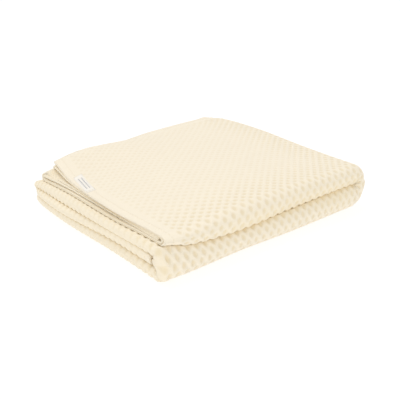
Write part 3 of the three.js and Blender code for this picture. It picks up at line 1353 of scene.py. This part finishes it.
@dataclass
class Label:
    """The woven label beside the hem of the top ply, with its ends turned under and sewn down.

    Its points are given as (u, v): u across the label and v along it, both from its middle.
    """

    cloth: FoldedCloth
    length: float = 45
    width: float = 9.5
    thickness: float = 0.35
    clearance: float = 0.3
    from_back: float = 78
    from_hem: float = 7.2
    tilt: float = 0.09
    turned_end: float = 3.5
    turned_lift: float = 0.2
    turned_step: float = 0.8
    rounding: float = 0.6
    edge_share: float = 0.45
    bow: float = 0.2
    bow_reach: float = 12
    steps_long: int = 40
    steps_wide: int = 10
    stitches: int = 5
    stitch_gap: float = 0.15
    stitch_lift: float = 0.2
    thread: float = 0.4

    def flat(self, u: Array, v: Array) -> Flat:
        """Flat points of the cloth under points of the label."""
        return Flat(self.from_hem + u - self.tilt * v, self.from_back + v)

    def points(self, face: Face, u: Array, v: Array) -> Array:
        """Points of one face of the label.

        Args:
            face: The outer face, which shows, or the inner one.
            u: Places across the label.
            v: Places along the label.

        Returns:
            Points in the fold's own frame, one row each.
        """
        end = self.length / 2 - np.abs(v)
        inside = ease(np.minimum(end, self.width / 2 - np.abs(u)) / self.rounding)
        bowed = self.bow * ease(end / self.bow_reach) * (1 - (2 * u / self.width) ** 2)
        lift = self.clearance * inside + bowed
        if face is Face.OUTER:
            turned = self.turned_lift * ease((self.turned_end - end) / self.turned_step)
            ribbon = self.thickness * (self.edge_share + (1 - self.edge_share) * inside)
            lift = lift + ribbon + turned * inside
        return self.cloth.above(self.flat(u, v), lift)

    def build(self, shift: Array, finish: WovenRibbon) -> bpy.types.Object:
        """Build and dress the label.

        Args:
            shift: Move into the frame.
            finish: Finish of the ribbon.

        Returns:
            The piece.
        """
        draft = MeshDraft()
        u = np.linspace(-self.width / 2, self.width / 2, self.steps_wide + 1)
        places = np.linspace(-self.length / 2, self.length / 2, self.steps_long + 1)
        order = np.arange(len(u))
        sheet = []
        for face in Face:
            rows = {}
            for number, place in enumerate(places):
                v = np.full_like(u, place)
                rows[number] = Row(draft.add(self.points(face, u, v), side_by_side(v, u)), order)
            sheet.append(rows)
        draft.close_sheet(*sheet)
        piece = draft.build("woven_label", shift, finish.material())
        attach(piece, "root")
        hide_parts("label")
        return piece

    def sew(self, shift: Array, finish: SewingThread) -> bpy.types.Object:
        """Sew down the two ends of the label.

        Args:
            shift: Move into the frame.
            finish: Finish of the thread.

        Returns:
            The piece.
        """
        places = np.linspace(-self.width / 2, self.width / 2, self.stitches + 1)
        gap = self.stitch_gap * (places[1] - places[0])
        rows = []
        for u in (places[:-1] + gap, places[1:] - gap):
            for end in (-1, 1):
                v = np.full(self.stitches, end * (self.length / 2 - self.turned_end / 2))
                at = self.flat(u, v)
                rows.append(side_by_side(at.along, at.across))
        base = self.clearance + self.thickness + self.turned_lift
        sewing = Stitches(self.cloth, thread=self.thread)
        draft = sewing.sew(np.concatenate(rows[:2]), np.concatenate(rows[2:]), self.stitch_lift, base)
        piece = draft.build("label_stitches", shift, finish.material())
        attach(piece, "root")
        return piece


@dataclass(frozen=True)
class Lamp:
    """A square soft lamp that is aimed at the origin."""

    name: str
    place: tuple[float, float, float]
    side: float
    watts: float

    def build(self) -> None:
        """Put up the lamp."""
        light = bpy.data.lights.new(self.name, "AREA")
        light.shape = "SQUARE"
        light.size = self.side
        light.energy = self.watts
        lamp = bpy.data.objects.new(self.name, light)
        lamp.location = self.place
        lamp.rotation_euler = (-Vector(self.place)).to_track_quat("-Z", "Y").to_euler()
        bpy.context.scene.collection.objects.link(lamp)


@dataclass(frozen=True)
class Studio:
    """Pale floor, soft light and the camera of the photograph."""

    eye: tuple[float, float, float] = (-0.3590, -0.4585, 0.2505)
    yaw_deg: float = 38.57
    pitch_deg: float = 23.2
    roll_deg: float = -0.35
    focal_px: float = 600.0
    image_px: float = 400.0
    sensor_mm: float = 36.0
    floor_side: float = 12.0
    floor_drop: float = 0.0002
    sky: Colour = (1.0, 1.0, 1.0, 1.0)
    sky_strength: float = 0.79
    lamps: tuple[Lamp, ...] = (
        Lamp("key", (-0.15, 0.9, 2.4), 1.4, 14.6),
        Lamp("fill", (-0.42, -0.55, 0.42), 0.35, 0.4),
    )

    def build(self) -> None:
        """Put up the floor, the light and the camera."""
        self.floor(LightTable())
        self.light()
        self.camera()
        bpy.context.scene.view_settings.view_transform = "Standard"

    def floor(self, finish: LightTable) -> None:
        """Lay the floor just under the blanket.

        Args:
            finish: Finish of the floor.
        """
        half = self.floor_side / 2
        corners = [(-half, -half, 0), (half, -half, 0), (half, half, 0), (-half, half, 0)]
        mesh = bpy.data.meshes.new("floor")
        mesh.from_pydata(corners, [], [(0, 1, 2, 3)])
        mesh.materials.append(finish.material())
        floor = bpy.data.objects.new("floor", mesh)
        floor.location.z = -self.floor_drop
        bpy.context.scene.collection.objects.link(floor)

    def light(self) -> None:
        """Even white surroundings and the lamps."""
        world = bpy.data.worlds.new("studio")
        world.use_nodes = True
        background = world.node_tree.nodes["Background"]
        background.inputs["Color"].default_value = self.sky
        background.inputs["Strength"].default_value = self.sky_strength
        bpy.context.scene.world = world
        for lamp in self.lamps:
            lamp.build()

    def camera(self) -> None:
        """Stand the camera where the photograph was taken."""
        lens = bpy.data.cameras.new("photo")
        lens.sensor_width = self.sensor_mm
        lens.lens = self.focal_px / self.image_px * self.sensor_mm
        camera = bpy.data.objects.new("photo", lens)
        camera.location = self.eye
        tilt = Euler((math.radians(90 - self.pitch_deg), 0.0, math.radians(-self.yaw_deg)))
        roll = Euler((0.0, 0.0, math.radians(self.roll_deg)))
        camera.rotation_euler = (tilt.to_matrix() @ roll.to_matrix()).to_euler()
        bpy.context.scene.collection.objects.link(camera)
        bpy.context.scene.camera = camera


def frame_shift(points: Array) -> Array:
    """Move from the fold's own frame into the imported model's, both in millimetres.

    Args:
        points: The blanket's points in the fold's frame.

    Returns:
        The move.
    """
    low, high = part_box("blanket")
    middle = np.array((low + high) / 2) / MILLIMETRE
    shift = middle - (points.min(axis=0) + points.max(axis=0)) / 2
    shift[2] = low.z / MILLIMETRE - points[:, 2].min()
    LOG.info("moved by %s mm", np.round(shift, 2))
    return shift


def report(piece: bpy.types.Object) -> None:
    """Log a finished piece."""
    piece.data.calc_loop_triangles()
    LOG.info("%s: %d triangles", piece.name, len(piece.data.loop_triangles))


def main() -> None:
    """Build the pieces in order, then the studio."""
    logging.basicConfig(level=logging.INFO)
    cloth = FoldedCloth()
    blanket = Blanket(cloth)
    draft = blanket.draft()
    shift = frame_shift(np.concatenate(draft.points))
    knitted = blanket.dress(draft, shift, CreamCotton())
    hem = Hem(cloth).build(shift, SewingThread())
    label = Label(cloth)
    ribbon = label.build(shift, WovenRibbon())
    sewing = label.sew(shift, SewingThread())
    for piece in (knitted, hem, ribbon, sewing):
        report(piece)
    Studio().build()


if __name__ == "__main__":
    main()
